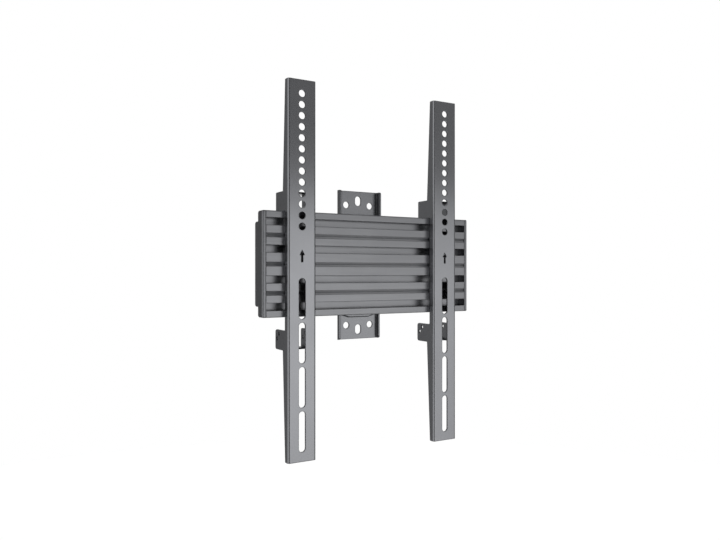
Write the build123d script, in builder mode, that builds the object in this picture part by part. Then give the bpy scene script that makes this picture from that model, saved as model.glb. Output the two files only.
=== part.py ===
from build123d import *
import math
import os

# A fixed wall bracket for a television. A folded steel wall plate has a hat-shaped
# carrier riveted to it. An extruded aluminium rail with a moulded cap at each end is
# bolted to the carrier, and two folded steel uprights hook over the rail.
#
# Millimetres. X runs along the rail, Y runs back into the wall, Z is up. The origin is
# the centre of the wall plate's back face, so the wall is at Y 0 and the whole bracket
# stands in front of it, at negative Y.

os.makedirs("parts", exist_ok=True)

# Wall plate
plate_width = 58.8
plate_height = 185.5
plate_sheet = 2.0
plate_bend = 0.5
upper_flange_gap = 7.4
lower_flange_gap = 10.7
flange_corner = 3.0
flange_step_height = -20.0
wall_hole_diameter = 8.4
wall_hole_side_distance = 12.4
wall_hole_end_distance = 17.5
wall_slot_length = 12.2
wall_slot_end_distance = 12.0
access_hole_clearance = 1.75

# Rail carrier
carrier_depth = 17.4
carrier_sheet = 2.5
carrier_bend = 1.5
carrier_side_gap = 3.9
crown_margin = 1.0
upper_foot_cover = 0.5
lower_foot_show = 5.6
foot_tip_width = 28.5
foot_tip_rise = 2.8
foot_edge_radius = 2.0

# Rail extrusion
rail_length = 279.0
rail_wall = 1.8
rail_edge_radius = 1.0
rail_rim = 7.75
rail_step_drop = 11.7
middle_land = 26.0
side_land = 22.25
channel_mouth = 8.5
channel_lip = 2.6
channel_undercut = 2.75
channel_depth = 12.0
channel_floor = 1.8
groove_width = 5.2
groove_depth = 1.5
back_slot_lip = 2.2
back_slot_floor = 1.6

# End caps
cap_thickness = 4.6
cap_corner = 3.0
cap_edge_radius = 1.7
cap_peg_length = 12.0
cap_peg_wall = 1.6
cap_peg_clearance = 0.2

# Uprights
upright_spacing = 200.0
upright_width = 35.0
upright_sheet = 2.0
upright_bend = 0.6
upright_height = 431.0
upright_rise = 208.0
upright_reach = 10.0
flange_end_depth = 8.0
flange_root_depth = 14.4
hook_rise = 23.3
hook_overhang = 1.3
claw_clearance = 0.3
claw_lift = 2.2
ear_drop = 15.0
ear_height = 23.3
ear_overhang = 4.1
ear_corner = 3.0
notch_corner = 2.0
hook_tab_depth = 17.5
ear_tab_depth = 13.0
tab_end_gap = 0.4
fold_radius = 1.6
hole_diameter = 8.2
hole_pitch = 12.5
hole_count = 13
hole_end_distance = 15.5
slot_length = 46.0
slot_pitch = 50.0
slot_count = 4
slot_end_distance = 34.0
arrow_height = 13.6
arrow_drop = 26.5
arrow_head_width = 5.9
arrow_head_height = 5.6
arrow_shaft_width = 2.3
ear_hole_diameter = 4.4
ear_hole_inset = 5.8
ear_hole_drop = 10.4
ear_hole_step = 5.6

# Fasteners
bolt_side_distance = 9.0
bolt_diameter = 6.0
bolt_hole_clearance = 0.3
bolt_head_diameter = 10.5
bolt_head_height = 3.3
bolt_head_chamfer = 0.8
bolt_socket_size = 4.0
bolt_socket_depth = 2.0
washer_diameter = 12.0
washer_thickness = 1.6
nut_size = 10.0
nut_thickness = 5.0
nut_side_play = 0.5
nut_front_play = 0.2
rivet_side_distance = 8.0
rivet_diameter = 5.0
rivet_edge_distance = 8.0
rivet_head_diameter = 9.0
rivet_head_height = 2.0
rivet_tail_diameter = 8.0
rivet_tail_angle = 90.0

# How near to a plane an edge or corner must lie to be picked by its place
reach = 0.01

# Depths worked out from the wall forwards
carrier_front = -carrier_depth
rail_back = carrier_front
back_slot_depth = back_slot_lip + nut_thickness + nut_front_play
rail_back_depth = back_slot_depth + back_slot_floor
rail_step = rail_back - rail_back_depth
rail_front_depth = channel_depth + channel_floor
rail_front = rail_step - rail_front_depth
upright_front = rail_front - upright_reach
plate_front = -plate_sheet
foot_front = plate_front - carrier_sheet
crown_back = carrier_front + carrier_sheet

# Heights worked out from the middle of the rail
inner_channel_height = middle_land / 2 + channel_mouth / 2
outer_channel_height = inner_channel_height + side_land + channel_mouth
rail_top = outer_channel_height + channel_mouth / 2 + rail_rim
rail_height = 2 * rail_top
rail_step_top = rail_top - rail_step_drop
rail_back_height = 2 * rail_step_top
channel_width = channel_mouth + 2 * channel_undercut
channel_heights = [
    sign * height
    for sign in (-1, 1)
    for height in (inner_channel_height, outer_channel_height)
]
groove_height = (inner_channel_height + outer_channel_height) / 2
groove_heights = [-groove_height, 0.0, groove_height]
back_slot_heights = [-groove_height, groove_height]

# Fastener places, shared by the plate, the carrier, the rail and the fasteners
carrier_width = plate_width - 2 * (plate_sheet + plate_bend + carrier_side_gap)
bolt_x = carrier_width / 2 - bolt_side_distance
bolt_places = [(x, z) for x in (-bolt_x, bolt_x) for z in back_slot_heights]
bolt_hole_radius = bolt_diameter / 2 + bolt_hole_clearance
crown_flat_top = groove_height + washer_diameter / 2 + crown_margin
crown_top = crown_flat_top + carrier_bend + carrier_sheet
rivet_x = carrier_width / 2 - rivet_side_distance
rivet_z = crown_top + rivet_edge_distance
rivet_places = [(x, z) for x in (-rivet_x, rivet_x) for z in (-rivet_z, rivet_z)]


# Wall plate: a channel folded from sheet, open to the front, with shallower flanges at
# the bottom than at the top.
upper_flange_front = carrier_front + upper_flange_gap
lower_flange_front = carrier_front + lower_flange_gap
flange_step_drop = lower_flange_front - upper_flange_front
deepest_flange = -min(upper_flange_front, lower_flange_front)
wall_hole_spacing_x = plate_width - 2 * wall_hole_side_distance
wall_hole_spacing_z = plate_height - 2 * wall_hole_end_distance
wall_slot_spacing = plate_height - 2 * wall_slot_end_distance

with BuildPart() as wall_plate:
    with BuildSketch(Plane.XY):
        Rectangle(plate_width, deepest_flange, align=(Align.CENTER, Align.MAX))
        fillet(vertices().group_by(Axis.Y)[-1], plate_bend + plate_sheet)
    extrude(amount=plate_height / 2, both=True)
    with BuildSketch(Plane.XY):
        with Locations((0, plate_front)):
            Rectangle(
                plate_width - 2 * plate_sheet,
                deepest_flange,
                align=(Align.CENTER, Align.MAX),
            )
        fillet(vertices().group_by(Axis.Y)[-1], plate_bend)
    extrude(amount=plate_height / 2, both=True, mode=Mode.SUBTRACT)
    with BuildSketch(Plane.YZ):
        with BuildLine():
            Polyline(
                (0, -plate_height / 2),
                (0, plate_height / 2),
                (upper_flange_front, plate_height / 2),
                (upper_flange_front, flange_step_height),
                (lower_flange_front, flange_step_height - flange_step_drop),
                (lower_flange_front, -plate_height / 2),
                close=True,
            )
        make_face()
        fillet(vertices().group_by(Axis.Y)[0].sort_by(Axis.X)[0], flange_corner)
        fillet(vertices().group_by(Axis.Y)[-1].sort_by(Axis.X)[0], flange_corner)
    extrude(amount=plate_width / 2, both=True, mode=Mode.INTERSECT)
    with BuildSketch(Plane.XZ):
        with GridLocations(wall_hole_spacing_x, wall_hole_spacing_z, 2, 2):
            Circle(wall_hole_diameter / 2)
        with GridLocations(0, wall_slot_spacing, 1, 2):
            SlotOverall(wall_slot_length, wall_hole_diameter, rotation=90)
        with Locations(*bolt_places):
            Circle(bolt_head_diameter / 2 + access_hole_clearance)
    extrude(amount=plate_sheet, mode=Mode.SUBTRACT)
    for x, z in rivet_places:
        with Locations(Plane(origin=(x, 0, z), z_dir=(0, 1, 0))):
            CounterSinkHole(
                rivet_diameter / 2,
                rivet_tail_diameter / 2,
                plate_sheet,
                rivet_tail_angle,
            )

wall_plate.part.label = "wall_plate"
export_step(wall_plate.part, "parts/wall_plate.step")


# Rail carrier: a hat folded from thicker sheet. Its crown lies on the rail's back and
# its two feet on the wall plate. The lower foot is longer and has its corners cut off.
foot_bottom = -rail_top - lower_foot_show
foot_top = rail_top - upper_foot_cover

with BuildPart() as rail_carrier:
    with BuildSketch(Plane.YZ):
        with BuildLine():
            Polyline(
                (plate_front, foot_bottom),
                (plate_front, -crown_top + carrier_sheet),
                (crown_back, -crown_top + carrier_sheet),
                (crown_back, crown_top - carrier_sheet),
                (plate_front, crown_top - carrier_sheet),
                (plate_front, foot_top),
                (foot_front, foot_top),
                (foot_front, crown_top),
                (carrier_front, crown_top),
                (carrier_front, -crown_top),
                (foot_front, -crown_top),
                (foot_front, foot_bottom),
                close=True,
            )
        make_face()
        outside_bends = vertices().filter_by_position(
            Axis.Y, -crown_top - reach, crown_top + reach
        )
        fillet(outside_bends.group_by(Axis.X)[0], carrier_bend + carrier_sheet)
        inside_bends = vertices().filter_by_position(
            Axis.X, crown_back - reach, crown_back + reach
        )
        fillet(inside_bends, carrier_bend)
        foot_backs = vertices().filter_by_position(
            Axis.X, plate_front - reach, plate_front + reach
        )
        fillet(foot_backs.sort_by(Axis.Y)[1:3], carrier_bend + carrier_sheet)
        foot_roots = vertices().filter_by_position(
            Axis.X, foot_front - reach, foot_front + reach
        )
        fillet(foot_roots.sort_by(Axis.Y)[1:3], carrier_bend)
    extrude(amount=carrier_width / 2, both=True)
    with BuildSketch(Plane.XZ.offset(plate_sheet)):
        for side in (-1, 1):
            Polygon(
                (side * foot_tip_width / 2, foot_bottom),
                (side * carrier_width / 2, foot_bottom + foot_tip_rise),
                (side * carrier_width / 2, foot_bottom),
                align=None,
            )
    extrude(amount=carrier_sheet, mode=Mode.SUBTRACT)
    lower_edges = (
        rail_carrier.edges()
        .filter_by_position(Axis.Y, foot_front - reach, foot_front + reach)
        .filter_by_position(
            Axis.Z, foot_bottom - reach, foot_bottom + foot_tip_rise + reach
        )
    )
    fillet(lower_edges, foot_edge_radius)
    with BuildSketch(Plane.XZ.offset(-crown_back)):
        with Locations(*bolt_places):
            Circle(bolt_hole_radius)
    extrude(amount=carrier_sheet, mode=Mode.SUBTRACT)
    with BuildSketch(Plane.XZ.offset(plate_sheet)):
        with Locations(*rivet_places):
            Circle(rivet_diameter / 2)
    extrude(amount=carrier_sheet, mode=Mode.SUBTRACT)

rail_carrier.part.label = "rail_carrier"
export_step(rail_carrier.part, "parts/rail_carrier.step")


# Rail: an aluminium extrusion with a tall front and a lower back. The front has four
# undercut channels and three shallow vee grooves, and the back has two slots for nuts.
chamber_front = rail_front + groove_depth + rail_wall
chamber_back = rail_front + channel_depth
slot_floor = rail_back - back_slot_depth
back_slot_mouth = 2 * bolt_hole_radius
back_slot_width = nut_size + 2 * nut_side_play
channel_reach = channel_width / 2 + rail_wall
middle_chamber_height = 2 * (inner_channel_height - channel_reach)
side_chamber_height = outer_channel_height - inner_channel_height - 2 * channel_reach
front_chambers = [
    (-groove_height, side_chamber_height),
    (0.0, middle_chamber_height),
    (groove_height, side_chamber_height),
]
slot_reach = back_slot_width / 2 + rail_wall
inner_back_chamber = groove_height - slot_reach - rail_wall / 2
outer_back_chamber = rail_step_top - rail_wall - groove_height - slot_reach
back_chambers = [
    (sign * middle, height)
    for sign in (-1, 1)
    for middle, height in (
        (rail_wall / 2 + inner_back_chamber / 2, inner_back_chamber),
        (rail_step_top - rail_wall - outer_back_chamber / 2, outer_back_chamber),
    )
]

with BuildPart() as rail_profile:
    with BuildSketch(Plane.YZ):
        with Locations((rail_front, 0)):
            Rectangle(rail_front_depth, rail_height, align=(Align.MIN, Align.CENTER))
        with Locations((rail_step, 0)):
            Rectangle(
                rail_back_depth, rail_back_height, align=(Align.MIN, Align.CENTER)
            )
        fillet(vertices().group_by(Axis.Y)[0], rail_edge_radius)
        fillet(vertices().group_by(Axis.Y)[-1], rail_edge_radius)
        fillet(vertices().group_by(Axis.X)[-1], rail_edge_radius)
        for height in channel_heights:
            with Locations((rail_front, height)):
                Rectangle(
                    channel_depth,
                    channel_mouth,
                    align=(Align.MIN, Align.CENTER),
                    mode=Mode.SUBTRACT,
                )
            with Locations((rail_front + channel_lip, height)):
                Rectangle(
                    channel_depth - channel_lip,
                    channel_width,
                    align=(Align.MIN, Align.CENTER),
                    mode=Mode.SUBTRACT,
                )
        for height in groove_heights:
            with Locations((rail_front, height)):
                Polygon(
                    (0, -groove_width / 2),
                    (groove_depth, 0),
                    (0, groove_width / 2),
                    align=None,
                    mode=Mode.SUBTRACT,
                )
        for middle, height in front_chambers:
            with Locations((chamber_front, middle)):
                Rectangle(
                    chamber_back - chamber_front,
                    height,
                    align=(Align.MIN, Align.CENTER),
                    mode=Mode.SUBTRACT,
                )
        for height in back_slot_heights:
            with Locations((rail_back, height)):
                Rectangle(
                    back_slot_depth,
                    back_slot_mouth,
                    align=(Align.MAX, Align.CENTER),
                    mode=Mode.SUBTRACT,
                )
            with Locations((slot_floor, height)):
                Rectangle(
                    back_slot_depth - back_slot_lip,
                    back_slot_width,
                    align=(Align.MIN, Align.CENTER),
                    mode=Mode.SUBTRACT,
                )
        for middle, height in back_chambers:
            with Locations((slot_floor, middle)):
                Rectangle(
                    back_slot_depth - rail_wall,
                    height,
                    align=(Align.MIN, Align.CENTER),
                    mode=Mode.SUBTRACT,
                )
    extrude(amount=rail_length / 2, both=True)

rail_profile.part.label = "rail_profile"
export_step(rail_profile.part, "parts/rail_profile.step")


# End caps: a moulded plate with the rail's stepped outline, and hollow pegs that push
# into the three chambers behind the rail's front.
for side, cap_name in ((-1, "end_cap_left"), (1, "end_cap_right")):
    cap_plane = Plane.YZ.offset(side * rail_length / 2)
    with BuildPart() as end_cap:
        with BuildSketch(cap_plane):
            with BuildLine():
                Polyline(
                    (rail_front, -rail_top),
                    (rail_step, -rail_top),
                    (rail_step, -rail_step_top),
                    (rail_back, -rail_step_top),
                    (rail_back, rail_step_top),
                    (rail_step, rail_step_top),
                    (rail_step, rail_top),
                    (rail_front, rail_top),
                    close=True,
                )
            make_face()
            fillet(vertices().group_by(Axis.X)[-1], cap_corner)
            tips = vertices().group_by(Axis.Y)[0] + vertices().group_by(Axis.Y)[-1]
            fillet(tips.group_by(Axis.X)[-1], cap_corner)
            fillet(vertices().group_by(Axis.X)[0], rail_edge_radius)
        extrude(amount=side * cap_thickness)
        outer_face = end_cap.faces().sort_by(Axis.X)[0 if side < 0 else -1]
        fillet(outer_face.edges(), cap_edge_radius)
        with BuildSketch(cap_plane):
            for middle, height in front_chambers:
                with Locations(((chamber_front + chamber_back) / 2, middle)):
                    Rectangle(
                        chamber_back - chamber_front - 2 * cap_peg_clearance,
                        height - 2 * cap_peg_clearance,
                    )
                    Rectangle(
                        chamber_back - chamber_front - 2 * cap_peg_wall,
                        height - 2 * cap_peg_wall,
                        mode=Mode.SUBTRACT,
                    )
        extrude(amount=-side * cap_peg_length)

    end_cap.part.label = cap_name
    export_step(end_cap.part, f"parts/{cap_name}.step")


# Uprights: a channel folded from sheet, open to the wall. Its flanges taper towards the
# ends, hook over the rail's top and drop behind its front, and end below the rail in a
# pair of ears. A tab folded in from the left flange ties each pair of hooks and ears.
upright_top = upright_rise
upright_bottom = upright_top - upright_height
hook_top = rail_top + hook_rise
claw_front = rail_step + claw_clearance
claw_back = rail_back + hook_overhang
claw_bottom = rail_step_top + claw_lift
ear_top = -rail_top - ear_drop
ear_bottom = ear_top - ear_height
ear_back = rail_back + ear_overhang
deepest_upright = max(claw_back, ear_back) - upright_front
hole_heights = [
    upright_top - hole_end_distance - index * hole_pitch
    for index in range(hole_count)
]
slot_heights = [
    upright_bottom + slot_end_distance + index * slot_pitch
    for index in range(slot_count)
]
arrow_top = hole_heights[-1] - arrow_drop
arrow_bottom = arrow_top - arrow_height
arrow_shoulder = arrow_top - arrow_head_height
arrow_outline = [
    (-arrow_shaft_width / 2, arrow_bottom),
    (arrow_shaft_width / 2, arrow_bottom),
    (arrow_shaft_width / 2, arrow_shoulder),
    (arrow_head_width / 2, arrow_shoulder),
    (0, arrow_top),
    (-arrow_head_width / 2, arrow_shoulder),
    (-arrow_shaft_width / 2, arrow_shoulder),
]
ear_hole_places = [
    (ear_back - ear_hole_inset, ear_top - ear_hole_drop),
    (ear_back - ear_hole_inset - ear_hole_step, ear_top - ear_hole_drop + ear_hole_step),
]

for side, upright_name in ((-1, "upright_left"), (1, "upright_right")):
    middle_x = side * upright_spacing / 2
    left_x = middle_x - upright_width / 2
    tab_width = upright_width - 2 * upright_sheet - tab_end_gap
    tab_start = left_x + upright_sheet
    with BuildPart() as upright:
        with BuildSketch(Plane.XY):
            with Locations((middle_x, upright_front)):
                Rectangle(
                    upright_width, deepest_upright, align=(Align.CENTER, Align.MIN)
                )
            fillet(vertices().group_by(Axis.Y)[0], upright_bend + upright_sheet)
        extrude(amount=upright_height, both=True)
        with BuildSketch(Plane.XY):
            with Locations((middle_x, upright_front + upright_sheet)):
                Rectangle(
                    upright_width - 2 * upright_sheet,
                    deepest_upright,
                    align=(Align.CENTER, Align.MIN),
                )
            fillet(vertices().group_by(Axis.Y)[0], upright_bend)
        extrude(amount=upright_height, both=True, mode=Mode.SUBTRACT)
        with BuildSketch(Plane.YZ.offset(middle_x)):
            with BuildLine():
                Polyline(
                    (upright_front, upright_bottom),
                    (upright_front + flange_end_depth, upright_bottom),
                    (upright_front + flange_root_depth, ear_bottom),
                    (ear_back, ear_bottom),
                    (ear_back, ear_top),
                    (rail_front, ear_top),
                    (rail_front, rail_top),
                    (claw_front, rail_top),
                    (claw_front, claw_bottom),
                    (claw_back, claw_bottom),
                    (claw_back, hook_top),
                    (upright_front + flange_root_depth, hook_top),
                    (upright_front + flange_end_depth, upright_top),
                    (upright_front, upright_top),
                    close=True,
                )
            make_face()
            ear_tips = vertices().filter_by_position(
                Axis.X, ear_back - reach, ear_back + reach
            )
            fillet(ear_tips, ear_corner)
            ear_root = vertices().filter_by_position(
                Axis.Y, ear_top - reach, ear_top + reach
            )
            fillet(ear_root.sort_by(Axis.X)[0], notch_corner)
        extrude(amount=upright_width / 2, both=True, mode=Mode.INTERSECT)
        with BuildSketch(Plane.XY.offset(hook_top)):
            with Locations((tab_start, claw_back)):
                Rectangle(tab_width, hook_tab_depth, align=(Align.MIN, Align.MAX))
        extrude(amount=-upright_sheet)
        with BuildSketch(Plane.XY.offset(ear_bottom)):
            with Locations((tab_start, ear_back - ear_corner)):
                Rectangle(tab_width, ear_tab_depth, align=(Align.MIN, Align.MAX))
        extrude(amount=upright_sheet)
        for height in (hook_top, ear_bottom):
            fold_edge = (
                upright.edges()
                .filter_by(Axis.Y)
                .filter_by_position(Axis.X, left_x - reach, left_x + reach)
                .filter_by_position(Axis.Z, height - reach, height + reach)
            )
            fillet(fold_edge, fold_radius)
        with BuildSketch(Plane.XZ.offset(-upright_front)):
            with Locations(*[(middle_x, height) for height in hole_heights]):
                Circle(hole_diameter / 2)
            with Locations(*[(middle_x, height) for height in slot_heights]):
                SlotOverall(slot_length, hole_diameter, rotation=90)
            with Locations((middle_x, 0)):
                Polygon(*arrow_outline, align=None)
        extrude(amount=-upright_sheet, mode=Mode.SUBTRACT)
        with BuildSketch(Plane.YZ.offset(middle_x)):
            with Locations(*ear_hole_places):
                Circle(ear_hole_diameter / 2)
        extrude(amount=upright_width / 2, both=True, mode=Mode.SUBTRACT)

    upright.part.label = upright_name
    export_step(upright.part, f"parts/{upright_name}.step")


# Rail bolts, washers and square nuts: each bolt passes from behind through a washer,
# the carrier's crown and a back slot's mouth into a nut seated on the slot's lips.
bolt_length = washer_thickness + carrier_sheet + back_slot_lip + nut_thickness
head_seat = crown_back + washer_thickness
nut_seat = rail_back - back_slot_lip
nut_front = nut_seat - nut_thickness

for number, (x, z) in enumerate(bolt_places, start=1):
    with BuildPart() as rail_bolt:
        with BuildSketch(Plane.XZ.offset(-head_seat)):
            with Locations((x, z)):
                Circle(bolt_head_diameter / 2)
        extrude(amount=-bolt_head_height)
        head_rim = rail_bolt.edges().filter_by(GeomType.CIRCLE).sort_by(Axis.Y)[-1]
        chamfer(head_rim, bolt_head_chamfer)
        with BuildSketch(Plane.XZ.offset(-head_seat - bolt_head_height)):
            with Locations((x, z)):
                RegularPolygon(bolt_socket_size / 2, 6, major_radius=False)
        extrude(amount=bolt_socket_depth, mode=Mode.SUBTRACT)
        with BuildSketch(Plane.XZ.offset(-head_seat)):
            with Locations((x, z)):
                Circle(bolt_diameter / 2)
        extrude(amount=bolt_length)
    bolt_name = f"rail_bolt_{number}"
    rail_bolt.part.label = bolt_name
    export_step(rail_bolt.part, f"parts/{bolt_name}.step")

    with BuildPart() as rail_washer:
        with BuildSketch(Plane.XZ.offset(-crown_back)):
            with Locations((x, z)):
                Circle(washer_diameter / 2)
                Circle(bolt_hole_radius, mode=Mode.SUBTRACT)
        extrude(amount=-washer_thickness)
    washer_name = f"rail_washer_{number}"
    rail_washer.part.label = washer_name
    export_step(rail_washer.part, f"parts/{washer_name}.step")

    with BuildPart() as slot_nut:
        with BuildSketch(Plane.XZ.offset(-nut_seat)):
            with Locations((x, z)):
                Rectangle(nut_size, nut_size)
            with Locations((x, z)):
                Circle(bolt_diameter / 2, mode=Mode.SUBTRACT)
        extrude(amount=nut_thickness)
    nut_name = f"slot_nut_{number}"
    slot_nut.part.label = nut_name
    export_step(slot_nut.part, f"parts/{nut_name}.step")


# Carrier rivets: a domed head on the foot, and a tail flush in the wall plate's back.
tail_flare = (rivet_tail_diameter - rivet_diameter) / 2
tail_depth = tail_flare / math.tan(math.radians(rivet_tail_angle / 2))

for number, (x, z) in enumerate(rivet_places, start=1):
    with BuildPart() as carrier_rivet:
        with BuildSketch(Plane(origin=(x, 0, z), x_dir=(1, 0, 0), z_dir=(0, 0, 1))):
            with BuildLine():
                Polyline(
                    (0, foot_front - rivet_head_height),
                    (0, 0),
                    (rivet_tail_diameter / 2, 0),
                    (rivet_diameter / 2, -tail_depth),
                    (rivet_diameter / 2, foot_front),
                    (rivet_head_diameter / 2, foot_front),
                )
                TangentArc(
                    (0, foot_front - rivet_head_height),
                    (rivet_head_diameter / 2, foot_front),
                    tangent=(1, 0),
                )
            make_face()
        revolve(axis=Axis((x, 0, z), (0, 1, 0)))
    rivet_name = f"carrier_rivet_{number}"
    carrier_rivet.part.label = rivet_name
    export_step(carrier_rivet.part, f"parts/{rivet_name}.step")
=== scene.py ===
"""Looks of a fixed television wall bracket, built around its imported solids.

The bracket hangs in the frame of the solids: X runs along the rail, Y runs back into the
wall and Z is up, in metres. The sheet steel and the rail carry a dark grey coating, the
end caps are moulded, and the small fasteners are plated.
"""

import logging
import math
from dataclasses import dataclass
from enum import Enum
from typing import Any

import bpy
import numpy as np
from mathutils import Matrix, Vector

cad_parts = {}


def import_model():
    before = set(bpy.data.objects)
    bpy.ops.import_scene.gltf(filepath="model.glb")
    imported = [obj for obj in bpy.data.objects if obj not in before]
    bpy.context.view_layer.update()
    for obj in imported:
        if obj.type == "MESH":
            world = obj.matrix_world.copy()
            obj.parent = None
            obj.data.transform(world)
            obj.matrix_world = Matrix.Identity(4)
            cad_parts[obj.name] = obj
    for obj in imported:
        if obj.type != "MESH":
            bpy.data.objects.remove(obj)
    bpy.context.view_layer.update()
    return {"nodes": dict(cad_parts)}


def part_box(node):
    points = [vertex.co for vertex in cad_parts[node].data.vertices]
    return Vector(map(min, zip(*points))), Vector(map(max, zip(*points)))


log = logging.getLogger("tv_bracket")

Colour = tuple[float, float, float]
Point = tuple[float, float, float]
Range = tuple[float, float]
Marks = tuple[float, float, float, float]
Socket = bpy.types.NodeSocket

WHITE: Colour = (1.0, 1.0, 1.0)
EVEN: Point = (1.0, 1.0, 1.0)
ORIGIN: Point = (0.0, 0.0, 0.0)

# A share that runs from nothing to all, and the middle part of a noise's values that is
# stretched over it: the core gives clouds with marked rims, the body gives softer ones.
SHARE: Range = (0.0, 1.0)
CORE: Range = (0.35, 0.65)
BODY: Range = (0.3, 0.7)

# The colour sockets of the Mix node: its two inputs and its output.
MIX_UNDER, MIX_OVER, MIX_RESULT = 6, 7, 2

# The distance between two rings of the Wave node at scale 1, in metres.
WAVE_PITCH = 0.31


class Grain(Enum):
    """The fine relief of a finish: the stretch of its noise along X, Y and Z."""

    POWDER = (1.0, 1.0, 1.0)
    DRAWN_ALONG_X = (0.012, 1.0, 1.0)


def shaded(colour: Colour, factor: float) -> Colour:
    """Multiplies a colour by a factor."""
    return tuple(part * factor for part in colour)


class NodeBoard:
    """A material's node tree, with short calls that add nodes and join them."""

    def __init__(self, name: str) -> None:
        """Makes an empty material.

        Args:
            name: the material's name.
        """
        self.material = bpy.data.materials.new(name)
        self.material.use_nodes = True
        self.tree = self.material.node_tree
        self.tree.nodes.clear()

    def add(self, kind: str, **settings: Any) -> bpy.types.Node:
        """Adds a node.

        Args:
            kind: the node's type, such as ShaderNodeBump.
            settings: properties of the node, set as they are given.

        Returns:
            The new node.
        """
        node = self.tree.nodes.new(kind)
        for key, value in settings.items():
            setattr(node, key, value)
        return node

    def join(self, source: Socket, target: Socket) -> None:
        """Links an output socket to an input socket."""
        self.tree.links.new(source, target)

    def place(self, stretch: Point = EVEN, centre: Point = ORIGIN) -> Socket:
        """Gives the piece's own coordinates, stretched and counted from a centre.

        Args:
            stretch: the factor on each axis.
            centre: the point that they are counted from, in metres times the stretch.

        Returns:
            A vector socket in metres times the stretch.
        """
        here = self.add("ShaderNodeTexCoord")
        mapping = self.add("ShaderNodeMapping")
        mapping.inputs["Scale"].default_value = stretch
        mapping.inputs["Location"].default_value = tuple(-part for part in centre)
        self.join(here.outputs["Object"], mapping.inputs["Vector"])
        return mapping.outputs["Vector"]

    def noise(self, where: Socket, size: float, detail: float) -> Socket:
        """Adds a noise.

        Args:
            where: the coordinates it is read at.
            size: the width of its features, in metres.
            detail: how many finer layers it has, each half as strong as the last.

        Returns:
            Its value, about 0.5 on average.
        """
        node = self.add("ShaderNodeTexNoise")
        node.inputs["Scale"].default_value = 1.0 / size
        node.inputs["Detail"].default_value = detail
        node.inputs["Roughness"].default_value = 0.5
        self.join(where, node.inputs["Vector"])
        return node.outputs["Fac"]

    def span(self, value: Socket, source: Range, target: Range) -> Socket:
        """Maps a range of a value onto another range, clamped and eased at both ends.

        Args:
            value: the value that is mapped.
            source: the range that is read.
            target: the range that it becomes.

        Returns:
            The mapped value.
        """
        node = self.add("ShaderNodeMapRange", interpolation_type="SMOOTHSTEP")
        node.inputs["From Min"].default_value, node.inputs["From Max"].default_value = source
        node.inputs["To Min"].default_value, node.inputs["To Max"].default_value = target
        self.join(value, node.inputs["Value"])
        return node.outputs["Result"]

    def product(self, first: Socket, second: Socket) -> Socket:
        """Multiplies two values.

        Args:
            first: the one value.
            second: the other value.

        Returns:
            Their product.
        """
        node = self.add("ShaderNodeMath", operation="MULTIPLY")
        self.join(first, node.inputs[0])
        self.join(second, node.inputs[1])
        return node.outputs[0]

    def layer(self, share: Socket, under: Socket | Colour, over: Socket | Colour) -> Socket:
        """Lays one colour over another.

        Args:
            share: how much of the upper colour shows, 0 to 1.
            under: the lower colour.
            over: the upper colour.

        Returns:
            The colour that results.
        """
        node = self.add("ShaderNodeMix", data_type="RGBA", blend_type="MIX")
        self.join(share, node.inputs["Factor"])
        for key, value in ((MIX_UNDER, under), (MIX_OVER, over)):
            if isinstance(value, tuple):
                node.inputs[key].default_value = (*value, 1.0)
            else:
                self.join(value, node.inputs[key])
        return node.outputs[MIX_RESULT]

    def relief(self, height: Socket, depth: float, normal: Socket) -> Socket:
        """Bends the surface's normal by a height.

        Args:
            height: the height, 0 to 1.
            depth: how deep 1 is, in metres.
            normal: the normal that is bent further.

        Returns:
            The new normal.
        """
        node = self.add("ShaderNodeBump")
        node.inputs["Strength"].default_value = 1.0
        node.inputs["Distance"].default_value = depth
        self.join(height, node.inputs["Height"])
        self.join(normal, node.inputs["Normal"])
        return node.outputs["Normal"]

    def soft_edge(self, radius: float) -> Socket:
        """Rounds the shading of sharp edges.

        Args:
            radius: the radius of the rounding, in metres.

        Returns:
            The rounded normal.
        """
        rounded = self.add("ShaderNodeBevel", samples=6)
        rounded.inputs["Radius"].default_value = radius
        return rounded.outputs["Normal"]

    def likeness(self, normal: Socket) -> Socket:
        """Compares a rounded normal with the true one, as the cosine between them.

        Args:
            normal: the rounded normal.

        Returns:
            A value that is 1 on a flat face and falls towards 0.7 on a square edge.
        """
        true_one = self.add("ShaderNodeNewGeometry")
        dot = self.add("ShaderNodeVectorMath", operation="DOT_PRODUCT")
        self.join(normal, dot.inputs[0])
        self.join(true_one.outputs["Normal"], dot.inputs[1])
        return dot.outputs["Value"]

    def openness(self, reach: float) -> Socket:
        """Tells how open a place is, from ambient occlusion, so that shade can be painted
        into hollows.

        Args:
            reach: how far off the piece's own walls still count, in metres.

        Returns:
            A value that is 1 in the open and falls towards 0 between near walls.
        """
        node = self.add("ShaderNodeAmbientOcclusion", samples=8, only_local=True)
        node.inputs["Distance"].default_value = reach
        return node.outputs["AO"]

    def surface(self, colour: Socket, metal: float, rough: Socket, normal: Socket) -> None:
        """Ends the tree with a shader.

        Args:
            colour: the base colour.
            metal: how metallic the finish is, 0 to 1.
            rough: the roughness.
            normal: the normal.
        """
        shader = self.add("ShaderNodeBsdfPrincipled")
        shader.inputs["Metallic"].default_value = metal
        end = self.add("ShaderNodeOutputMaterial")
        self.join(colour, shader.inputs["Base Color"])
        self.join(rough, shader.inputs["Roughness"])
        self.join(normal, shader.inputs["Normal"])
        self.join(shader.outputs["BSDF"], end.inputs["Surface"])


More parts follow.
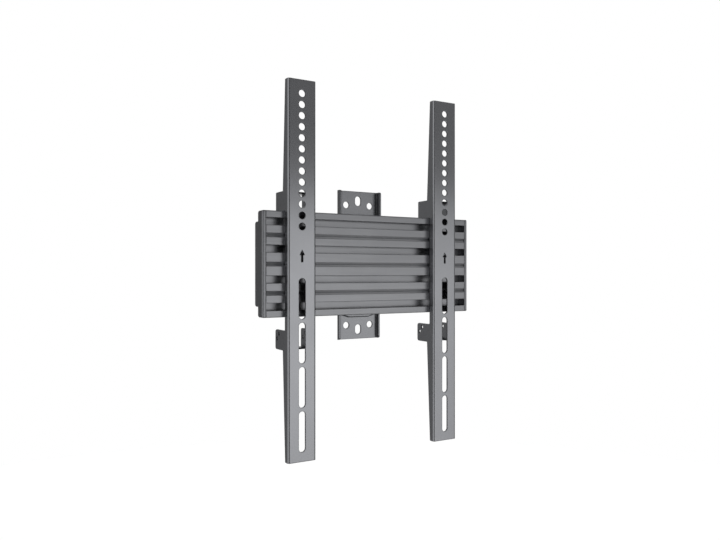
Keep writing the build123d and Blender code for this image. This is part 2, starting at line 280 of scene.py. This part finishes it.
@dataclass(frozen=True)
class Coating:
    """A metallic coating on sheet steel or on the extrusion.

    Attributes:
        name: the material's name.
        colour: its colour in linear light.
        metal: how metallic it is, 0 to 1.
        rough: its mean roughness.
        rough_swing: how far the grain takes the roughness up and down.
        grain: the stretch of its fine relief.
        grain_size: the width of a grain, in metres.
        grain_depth: the depth of the relief, in metres.
        peel_size: the width of a dimple of its orange peel, in grains.
        peel_depth: the depth of a dimple, in depths of the grain.
        cloud_size: the width of a cloud in its colour, in metres.
        cloud_shade: the factor on the colour inside a cloud.
        edge_radius: the rounding that a coat gives a sheared edge, in metres.
        painted_shade_tone: the dark colour of the shade painted along edges and in hollows.
        edge_share: how much of that painted shade shows at the most, 0 to 1.
        edge_likeness: how like the true normal the rounded one is where the painted edge
        shade starts and where it is full.
        patch_size: the width of the patches that break up the painted edge shade, in metres.
        patch_marks: the part of the patches' noise that is stretched over their share.
        patch_share: how much of the painted edge shade shows in a weak and in a strong patch.
        painted_shade_reach: how near the walls of a hollow have to be, in metres, for shade
        to be painted in it.
        painted_shade_openness: how open a place is where the painted shade is full and where
            it ends.
    """

    name: str
    colour: Colour
    metal: float = 0.98
    rough: float = 0.2
    rough_swing: float = 0.025
    grain: Grain = Grain.POWDER
    grain_size: float = 0.0006
    grain_depth: float = 0.0000015
    peel_size: float = 6.0
    peel_depth: float = 2.0
    cloud_size: float = 0.06
    cloud_shade: float = 0.94
    edge_radius: float = 0.0011
    # The colour of the painted shade along edges and in hollows.
    painted_shade_tone: Colour = (0.04, 0.041, 0.045)
    edge_share: float = 0.9
    edge_likeness: Range = (0.99, 0.86)
    patch_size: float = 0.004
    patch_marks: Range = (0.3, 0.6)
    patch_share: Range = (0.7, 1.0)
    # How far and how strongly the shade painted in hollows reaches.
    painted_shade_reach: float = 0.006
    painted_shade_openness: Range = (0.45, 0.92)

    def material(self) -> bpy.types.Material:
        """Builds the coating from four noises, with shade painted along its edges and in its
        hollows.

        Returns:
            The material.
        """
        board = NodeBoard(self.name)
        here = board.place()
        grain = board.noise(board.place(self.grain.value), self.grain_size, detail=3.0)
        peel = board.noise(here, self.grain_size * self.peel_size, detail=1.0)
        cloud = board.noise(here, self.cloud_size, detail=3.0)
        patch = board.noise(here, self.patch_size, detail=4.0)
        smooth = board.soft_edge(self.edge_radius)
        # Painted shade along the edges, where the rounded normal leaves the true one, in
        # patches.
        edge = board.product(
            board.span(board.likeness(smooth), self.edge_likeness, (0.0, self.edge_share)),
            board.span(patch, self.patch_marks, self.patch_share),
        )
        # Painted shade in hollows, from ambient occlusion.
        hollow = board.span(
            board.openness(self.painted_shade_reach), self.painted_shade_openness, (self.edge_share, 0.0)
        )
        shade = shaded(self.colour, self.cloud_shade)
        tone = board.layer(board.span(cloud, CORE, SHARE), self.colour, shade)
        # The painted shade is laid over the coat's colour, first along edges, then in
        # hollows.
        tone = board.layer(edge, tone, self.painted_shade_tone)
        tone = board.layer(hollow, tone, self.painted_shade_tone)
        swing = (self.rough - self.rough_swing, self.rough + self.rough_swing)
        normal = board.relief(peel, self.grain_depth * self.peel_depth, smooth)
        normal = board.relief(grain, self.grain_depth, normal)
        board.surface(tone, self.metal, board.span(grain, BODY, swing), normal)
        return board.material


@dataclass(frozen=True)
class Moulding:
    """A moulded plastic with a fine eroded texture and a metallic paint.

    Attributes:
        name: the material's name.
        colour: its colour in linear light.
        metal: how metallic its paint is, 0 to 1.
        rough: its mean roughness.
        rough_swing: what is added to the roughness in a pit and on a crest.
        grain_size: the width of a pit, in metres.
        grain_depth: the depth of the texture, in metres.
        cloud_size: the width of a cloud in its colour, in metres.
        cloud_shade: the factor on the colour inside a cloud.
        edge_radius: the rounding of its edges, in metres.
        edge_shade: the factor on the colour where shade is painted along an edge.
        edge_share: how much of that painted shade shows at the most, 0 to 1.
        edge_likeness: how like the true normal the rounded one is where the painted shade
        starts and where it is full.
    """

    name: str
    colour: Colour
    metal: float = 0.97
    rough: float = 0.3
    rough_swing: Range = (-0.05, 0.08)
    grain_size: float = 0.0005
    grain_depth: float = 0.000006
    cloud_size: float = 0.02
    cloud_shade: float = 0.9
    edge_radius: float = 0.0018
    # The shade painted along edges: the factor on the colour, and how much of it shows.
    edge_shade: float = 0.2
    edge_share: float = 0.85
    edge_likeness: Range = (0.985, 0.9)

    def material(self) -> bpy.types.Material:
        """Builds the plastic from a cell pattern and a noise, with shade painted along its
        edges.

        Returns:
            The material.
        """
        board = NodeBoard(self.name)
        here = board.place()
        cells = board.add("ShaderNodeTexVoronoi", feature="SMOOTH_F1")
        cells.inputs["Scale"].default_value = 1.0 / self.grain_size
        board.join(here, cells.inputs["Vector"])
        pits = cells.outputs["Distance"]
        cloud = board.noise(here, self.cloud_size, detail=3.0)
        smooth = board.soft_edge(self.edge_radius)
        # Painted shade along the edges, where the rounded normal leaves the true one.
        edge = board.span(board.likeness(smooth), self.edge_likeness, (0.0, self.edge_share))
        shade = shaded(self.colour, self.cloud_shade)
        tone = board.layer(board.span(cloud, CORE, SHARE), self.colour, shade)
        tone = board.layer(edge, tone, shaded(self.colour, self.edge_shade))
        swing = (self.rough + self.rough_swing[0], self.rough + self.rough_swing[1])
        normal = board.relief(pits, self.grain_depth, smooth)
        board.surface(tone, self.metal, board.span(pits, SHARE, swing), normal)
        return board.material


@dataclass(frozen=True)
class Plating:
    """A plated fastener, turned or pressed, with rings about its own axis.

    Attributes:
        name: the material's name.
        colour: its colour in linear light.
        rough: its mean roughness.
        rough_swing: what is added to the roughness outside and inside a cloud.
        ring_pitch: the distance between two turning marks, in metres.
        ring_depth: the depth of the marks, in metres.
        ring_waver: how far the marks stray from true rings.
        cloud_size: the width of a cloud in its colour, in metres.
        cloud_shade: the factor on the colour inside a cloud.
        cloud_marks: the part of the clouds' noise that is stretched over their share.
        edge_radius: the rounding of its edges, in metres.
    """

    name: str
    colour: Colour
    rough: float = 0.3
    rough_swing: Range = (-0.06, 0.08)
    ring_pitch: float = 0.00035
    ring_depth: float = 0.000006
    ring_waver: float = 0.4
    cloud_size: float = 0.002
    cloud_shade: float = 0.82
    cloud_marks: Range = (0.35, 0.7)
    edge_radius: float = 0.0002

    def material(self, centre: Point) -> bpy.types.Material:
        """Builds the plating with its rings about a line along Y.

        Args:
            centre: a point on the fastener's axis, in metres.

        Returns:
            The material.
        """
        board = NodeBoard(f"{self.name}_{len(bpy.data.materials)}")
        here = board.place(centre=centre)
        rings = board.add("ShaderNodeTexWave", wave_type="RINGS", rings_direction="Y")
        rings.inputs["Scale"].default_value = WAVE_PITCH / self.ring_pitch
        rings.inputs["Distortion"].default_value = self.ring_waver
        board.join(here, rings.inputs["Vector"])
        cloud = board.noise(here, self.cloud_size, detail=4.0)
        shade = shaded(self.colour, self.cloud_shade)
        tone = board.layer(board.span(cloud, self.cloud_marks, SHARE), self.colour, shade)
        swing = (self.rough + self.rough_swing[0], self.rough + self.rough_swing[1])
        smooth = board.soft_edge(self.edge_radius)
        normal = board.relief(rings.outputs["Fac"], self.ring_depth, smooth)
        board.surface(tone, 1.0, board.span(cloud, BODY, swing), normal)
        return board.material


def grid_mesh(name: str, points: np.ndarray, close_u: bool = False) -> bpy.types.Object:
    """Puts a grid of points into a mesh of quads.

    The corner of row i and column j is point (i, j), and each quad joins (i, j),
    (i + 1, j), (i + 1, j + 1) and (i, j + 1).

    Args:
        name: the object's name.
        points: an array of rows by columns by 3, in metres.
        close_u: whether the last row is joined to the first.

    Returns:
        The object, linked to the scene.
    """
    rows, columns, _ = points.shape
    last = rows if close_u else rows - 1
    i, j = np.meshgrid(np.arange(last), np.arange(columns - 1), indexing="ij")
    here, following = i * columns + j, (i + 1) % rows * columns + j
    quads = np.stack((here, following, following + 1, here + 1), axis=-1).reshape(-1, 4)
    mesh = bpy.data.meshes.new(name)
    mesh.from_pydata(points.reshape(-1, 3).tolist(), [], quads.tolist())
    mesh.update()
    thing = bpy.data.objects.new(name, mesh)
    bpy.context.scene.collection.objects.link(thing)
    return thing


@dataclass(frozen=True)
class Panel:
    """A soft panel of the light tent.

    Attributes:
        tone: how bright it is, white being 1.
        angles: where it begins, is full, starts to fade and ends, as angles from the
            front towards +X in degrees.
        heights: the same for its elevations.
    """

    tone: float
    angles: Marks
    heights: Marks

    @staticmethod
    def window(value: np.ndarray, marks: Marks) -> np.ndarray:
        """Rises from 0 to 1 between the first two marks and falls between the last two.

        Each slope is 3 t^2 - 2 t^3, with t clamped to 0..1.

        Args:
            value: the values.
            marks: the four marks, in order.

        Returns:
            The share at each value.
        """
        rise = np.clip((value - marks[0]) / (marks[1] - marks[0]), 0.0, 1.0)
        fall = np.clip((marks[3] - value) / (marks[3] - marks[2]), 0.0, 1.0)
        return rise**2 * (3.0 - 2.0 * rise) * fall**2 * (3.0 - 2.0 * fall)

    def shine(self, angle: np.ndarray, height: np.ndarray) -> np.ndarray:
        """Gives the panel's tone over the tent.

        An angle is first moved by full turns to within half a turn of the panel's middle.

        Args:
            angle: the angles from the front towards +X, in degrees.
            height: the elevations, in degrees.

        Returns:
            The tone at each of them.
        """
        middle = (self.angles[0] + self.angles[3]) / 2
        near = middle + (angle - middle + 180.0) % 360.0 - 180.0
        return self.tone * self.window(near, self.angles) * self.window(height, self.heights)


@dataclass(frozen=True)
class LightTent:
    """A closed tent of dark cloth and soft panels, seen only where metal mirrors it.

    Attributes:
        radius: the tent's half width along X and Y, in metres.
        rise: its half height, in metres.
        cloth: the tone of the cloth between the panels.
        columns: the points round it.
        rows: the points from its bottom to its top.
        pole: the elevation of its first and last row, in half turns.
        panels: the panels. Where two overlap, the brighter one shows.
    """

    radius: float = 3.4
    rise: float = 1.15
    cloth: float = 0.04
    columns: int = 241
    rows: int = 161
    pole: float = 0.4999
    panels: tuple[Panel, ...] = (
        # For fronts: a bright one for those on the left, one for the right, and a dim one
        # that the tops of the uprights mirror.
        Panel(1.13, (-2, 10, 24, 50), (-31, -24, 4.0, 12.0)),
        Panel(0.95, (10, 22, 40, 60), (-31, -24, 4.0, 12.0)),
        Panel(0.25, (-8, 6, 62, 74), (4, 12, 26, 38)),
        # For the upper and the lower flanks of the rail's grooves.
        Panel(0.72, (26, 36, 62, 72), (34, 42, 57, 65)),
        Panel(0.58, (26, 36, 62, 72), (-65, -57, -42, -35)),
        # For bends and sides that face -X, and a dim one for those that are seen aslant.
        Panel(0.76, (-126, -108, -44, -22), (-60, -45, 45, 60)),
        Panel(0.24, (-166, -150, -134, -120), (-70, -60, 60, 70)),
        # For the back, and for sides that face +X.
        Panel(0.62, (146, 162, 178, 190), (-75, -60, 60, 75)),
        Panel(0.25, (66, 82, 120, 136), (-30, -20, 20, 30)),
        Panel(0.42, (112, 128, 152, 166), (-50, -35, 35, 50)),
        # For tops and undersides.
        Panel(0.5, (-212, -195, -60, -40), (40, 60, 91, 92)),
        Panel(0.5, (-212, -195, -60, -40), (-92, -91, -60, -40)),
    )

    def tone(self, angle: np.ndarray, height: np.ndarray) -> np.ndarray:
        """Gives the brightest of the cloth and the panels at each angle and elevation."""
        shines = [panel.shine(angle, height) for panel in self.panels]
        return np.maximum.reduce([np.full_like(angle, self.cloth), *shines])

    def cloth_material(self) -> bpy.types.Material:
        """Builds a cloth that glows as bright as the mesh's own tone says.

        Returns:
            The material.
        """
        board = NodeBoard("tent_cloth")
        tone = board.add("ShaderNodeAttribute", attribute_name="tone")
        glow = board.add("ShaderNodeEmission")
        end = board.add("ShaderNodeOutputMaterial")
        board.join(tone.outputs["Fac"], glow.inputs["Strength"])
        board.join(glow.outputs["Emission"], end.inputs["Surface"])
        return board.material

    def build(self) -> None:
        """Builds the tent.

        A point at angle a and elevation e lies at s (cos e sin a, -cos e cos a, sin e), and
        s puts it on an ellipsoid: 1 / s^2 = (cos e / radius)^2 + (sin e / rise)^2.
        """
        angle, height = np.meshgrid(
            np.linspace(-180.0, 180.0, self.columns),
            np.degrees(np.linspace(-self.pole, self.pole, self.rows) * np.pi),
        )
        turn, lift = np.radians(angle), np.radians(height)
        flat, up = np.cos(lift), np.sin(lift)
        reach = 1.0 / np.sqrt((flat / self.radius) ** 2 + (up / self.rise) ** 2)
        heading = np.stack((flat * np.sin(turn), -flat * np.cos(turn), up), axis=-1)
        tent = grid_mesh("light_tent", reach[..., None] * heading)
        shades = tent.data.attributes.new("tone", "FLOAT", "POINT")
        tones = self.tone(angle, height).ravel().astype(np.float32)
        shades.data.foreach_set("value", tones)
        tent.data.materials.append(self.cloth_material())
        tent.visible_camera = False
        tent.visible_diffuse = False
        tent.visible_shadow = False


@dataclass
class Studio:
    """The room: a white surround, a pale floor, the light tent and the camera.

    Attributes:
        eye: the camera's place, in metres.
        turn: the camera's turn about Z from looking along Y, in degrees.
        sensor_width: the width of the camera's sensor, in millimetres.
        focal_length: its lens, in millimetres.
        rise: the camera's shift, so that the horizon lies where the photograph has it.
        clip: the nearest and the farthest that the camera sees, in metres.
        floor_drop: how far the floor is below the origin, in metres.
        floor_radius: the floor's radius, in metres.
        floor_middle: where its innermost ring lies, as a share of the radius.
        floor_rings: how many rings of points it has.
        floor_steps: how many points each ring has.
        floor_tone: how pale it is.
        floor_rough: its roughness.
        floor_glow: the light that it gives off, which lifts it to the surround's white.
        tent: the light tent.
    """

    eye: Point = (-0.4239, -0.7414, -0.0107)
    turn: float = -30.0
    sensor_width: float = 36.0
    focal_length: float = 33.75
    rise: float = 0.005
    clip: Range = (0.01, 50.0)
    floor_drop: float = 1.2
    floor_radius: float = 4.0
    floor_middle: float = 1e-4
    floor_rings: int = 12
    floor_steps: int = 96
    floor_tone: float = 0.9
    floor_rough: float = 0.8
    floor_glow: float = 0.12
    tent: LightTent = LightTent()

    def build(self) -> None:
        """Builds the whole room."""
        self.surround()
        self.floor()
        self.tent.build()
        self.camera()

    def surround(self) -> None:
        """Makes the world plain white at strength 1."""
        world = bpy.data.worlds.new("surround")
        world.use_nodes = True
        back = world.node_tree.nodes["Background"]
        back.inputs["Color"].default_value = (*WHITE, 1.0)
        back.inputs["Strength"].default_value = 1.0
        bpy.context.scene.world = world

    def floor_material(self) -> bpy.types.Material:
        """Builds the floor's plain pale finish.

        Returns:
            The material.
        """
        board = NodeBoard("pale_floor")
        shader = board.add("ShaderNodeBsdfPrincipled")
        shader.inputs["Base Color"].default_value = (*shaded(WHITE, self.floor_tone), 1.0)
        shader.inputs["Roughness"].default_value = self.floor_rough
        shader.inputs["Emission Color"].default_value = (*WHITE, 1.0)
        shader.inputs["Emission Strength"].default_value = self.floor_glow
        end = board.add("ShaderNodeOutputMaterial")
        board.join(shader.outputs["BSDF"], end.inputs["Surface"])
        return board.material

    def floor(self) -> None:
        """Lays the floor: rings of points at radius R s and angle t, at a constant height."""
        share, turn = np.meshgrid(
            np.linspace(self.floor_middle, 1.0, self.floor_rings),
            np.linspace(0.0, 2.0 * np.pi, self.floor_steps, endpoint=False),
        )
        radius, level = self.floor_radius * share, np.full_like(share, -self.floor_drop)
        points = np.stack((radius * np.cos(turn), radius * np.sin(turn), level), axis=-1)
        ground = grid_mesh("floor", points[::-1], close_u=True)
        ground.data.materials.append(self.floor_material())

    def camera(self) -> None:
        """Stands the camera at the photograph's place, level, with its lens shifted."""
        data = bpy.data.cameras.new("camera")
        data.sensor_width = self.sensor_width
        data.lens = self.focal_length
        data.shift_y = self.rise
        data.clip_start, data.clip_end = self.clip
        eye = bpy.data.objects.new("camera", data)
        eye.location = self.eye
        eye.rotation_euler = (math.radians(90.0), 0.0, math.radians(self.turn))
        bpy.context.scene.collection.objects.link(eye)
        bpy.context.scene.camera = eye
        bpy.context.scene.view_settings.view_transform = "Standard"


@dataclass
class Bracket:
    """The bracket's nodes, each with the finish of the real piece.

    Attributes:
        nodes: the frame's nodes by name.
        sheet_paint: the coat of the two uprights.
        plate_paint: the coat of the wall plate and the rail carrier.
        rail_paint: the coat of the extrusion.
        cap_plastic: the plastic of the end caps.
        zinc: the plating of the small fasteners.
    """

    nodes: dict[str, bpy.types.Object]
    sheet_paint: Coating = Coating("upright_coat", (0.335, 0.34, 0.357))
    plate_paint: Coating = Coating("plate_coat", (0.315, 0.32, 0.335), rough=0.28)
    rail_paint: Coating = Coating(
        "rail_coat", (0.314, 0.318, 0.332), rough=0.3, grain=Grain.DRAWN_ALONG_X,
        # The shade painted in the rail's hollows reaches less far.
        grain_size=0.0007, painted_shade_reach=0.003,
    )
    cap_plastic: Moulding = Moulding("cap_plastic", (0.27, 0.274, 0.287))
    zinc: Plating = Plating("zinc", (0.55, 0.55, 0.56))

    def dress(self) -> None:
        """Gives each node its material and reports it."""
        upright, plate, rail = (
            coat.material() for coat in (self.sheet_paint, self.plate_paint, self.rail_paint)
        )
        cap = self.cap_plastic.material()
        for name, node in self.nodes.items():
            if name.startswith("upright"):
                made = upright
            elif name in ("wall_plate", "rail_carrier"):
                made = plate
            elif name == "rail_profile":
                made = rail
            elif name.startswith("end_cap"):
                made = cap
            else:
                low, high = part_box(name)
                made = self.zinc.material(tuple((low + high) / 2))
            node.data.materials.clear()
            node.data.materials.append(made)
            log.info("%s wears %s", name, made.name)


def main() -> None:
    """Loads the frame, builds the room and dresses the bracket."""
    logging.basicConfig(level=logging.INFO, format="%(message)s")
    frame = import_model()
    Studio().build()
    Bracket(frame["nodes"]).dress()


if __name__ == "__main__":
    main()
